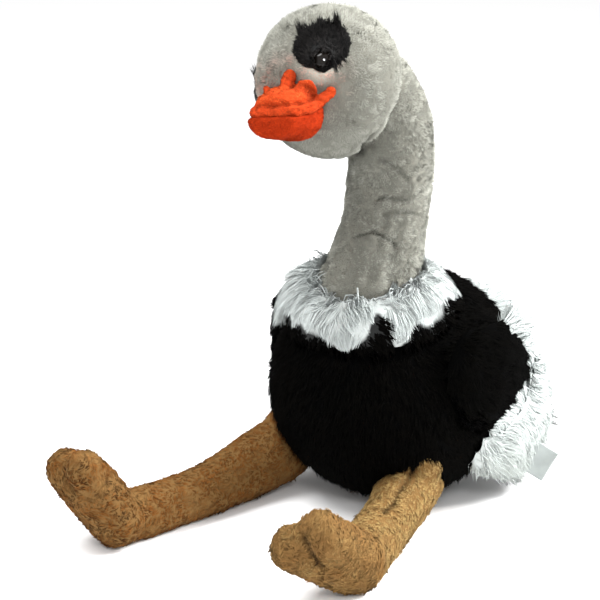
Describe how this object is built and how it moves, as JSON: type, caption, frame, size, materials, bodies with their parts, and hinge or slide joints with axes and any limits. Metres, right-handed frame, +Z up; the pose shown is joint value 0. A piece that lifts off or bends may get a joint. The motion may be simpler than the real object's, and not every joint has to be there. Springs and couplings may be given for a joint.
{
  "type": "plush toy ostrich",
  "caption": "Stuffed plush ostrich that sits upright, with legs stretched out in front, a long bent neck, a ruff at its foot, short wings and a bill.",
  "frame": {"origin": "on the surface it sits on, under the middle of the toy's box", "axes": "+Z up, -Y the way the toy faces, +X the toy's left"},
  "size_m": [0.182, 0.3102, 0.2874],
  "materials": {
    "grey_plush": "short soft grey plush with fine creases",
    "black_plush": "medium pile black plush",
    "white_fur": "long clumped white pile",
    "tan_plush": "short curly tan plush",
    "orange_velour": "smooth orange velour",
    "lash_fur": "long wispy black pile",
    "eye_plastic": "polished black plastic",
    "tag_ribbon": "blank white satin ribbon"
  },
  "bodies": {
    "root": {"body": "black_plush", "neck_lower": "grey_plush", "neck_upper": "grey_plush", "collar": "white_fur", "tail": "white_fur", "leg_right": "tan_plush", "foot_right": "tan_plush", "leg_left": "tan_plush", "foot_left": "tan_plush", "wing_right": "black_plush", "wing_fringe_right": "white_fur", "wing_left": "black_plush", "wing_fringe_left": "white_fur", "tag": "tag_ribbon", "head": "grey_plush", "bill_upper": "orange_velour", "bill_lower": "orange_velour", "bill_flap_left": "orange_velour", "bill_flap_right": "orange_velour", "bill_finger_middle": "orange_velour", "bill_finger_left": "orange_velour", "bill_finger_right": "orange_velour", "eye_left": "eye_plastic", "eye_patch_left": "lash_fur", "eye_right": "eye_plastic", "eye_patch_right": "lash_fur"}
  },
  "joints": []
}
